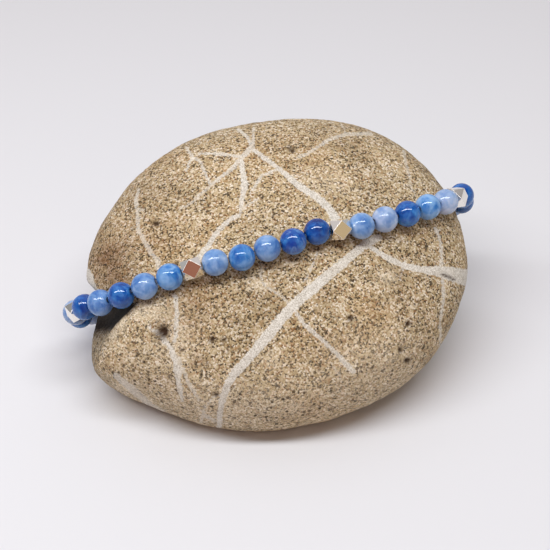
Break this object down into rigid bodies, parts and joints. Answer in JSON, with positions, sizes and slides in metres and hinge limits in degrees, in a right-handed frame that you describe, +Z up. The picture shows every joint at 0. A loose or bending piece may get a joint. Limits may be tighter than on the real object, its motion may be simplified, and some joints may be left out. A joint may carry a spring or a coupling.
{
  "type": "veined sandstone pebble with a bead bracelet",
  "caption": "Flat oval sandstone pebble with white veins, wound round once by a stretch bracelet of round blue stone beads and small faceted silver spacers.",
  "frame": {"origin": "on the surface that the pebble lies on, under the middle of the whole object's box", "axes": "+X to the right along the pebble's long way, +Y to its back, +Z up"},
  "size_m": [0.0662, 0.0526, 0.0307],
  "materials": {
    "sandstone": "coarse grained, matte, water worn",
    "deep_blue_stone": "polished, translucent",
    "middle_blue_stone": "polished, translucent",
    "light_blue_stone": "polished, translucent",
    "pale_blue_stone": "polished, translucent",
    "silver": "polished silver",
    "elastic": "clear stretch cord"
  },
  "bodies": {
    "root": {"pebble": "sandstone", "blue_bead_01": "pale_blue_stone", "blue_bead_02": "deep_blue_stone", "blue_bead_03": "light_blue_stone", "blue_bead_04": "deep_blue_stone", "blue_bead_05": "light_blue_stone", "blue_bead_06": "middle_blue_stone", "blue_bead_07": "light_blue_stone", "blue_bead_08": "middle_blue_stone", "blue_bead_09": "light_blue_stone", "blue_bead_10": "middle_blue_stone", "blue_bead_11": "deep_blue_stone", "blue_bead_12": "light_blue_stone", "blue_bead_13": "pale_blue_stone", "blue_bead_14": "deep_blue_stone", "blue_bead_15": "middle_blue_stone", "blue_bead_16": "pale_blue_stone", "blue_bead_17": "deep_blue_stone", "blue_bead_18": "deep_blue_stone", "blue_bead_19": "light_blue_stone", "blue_bead_20": "middle_blue_stone", "blue_bead_21": "pale_blue_stone", "blue_bead_22": "middle_blue_stone", "blue_bead_23": "deep_blue_stone", "blue_bead_24": "light_blue_stone", "blue_bead_25": "pale_blue_stone", "blue_bead_26": "middle_blue_stone", "blue_bead_27": "light_blue_stone", "blue_bead_28": "deep_blue_stone", "blue_bead_29": "middle_blue_stone", "blue_bead_30": "deep_blue_stone", "blue_bead_31": "light_blue_stone", "blue_bead_32": "middle_blue_stone", "blue_bead_33": "light_blue_stone", "blue_bead_34": "pale_blue_stone", "blue_bead_35": "deep_blue_stone", "silver_bead_1": "silver", "silver_bead_2": "silver", "silver_bead_3": "silver", "silver_bead_4": "silver", "silver_bead_5": "silver", "silver_bead_6": "silver", "silver_bead_7": "silver", "elastic_cord": "elastic"}
  },
  "joints": []
}
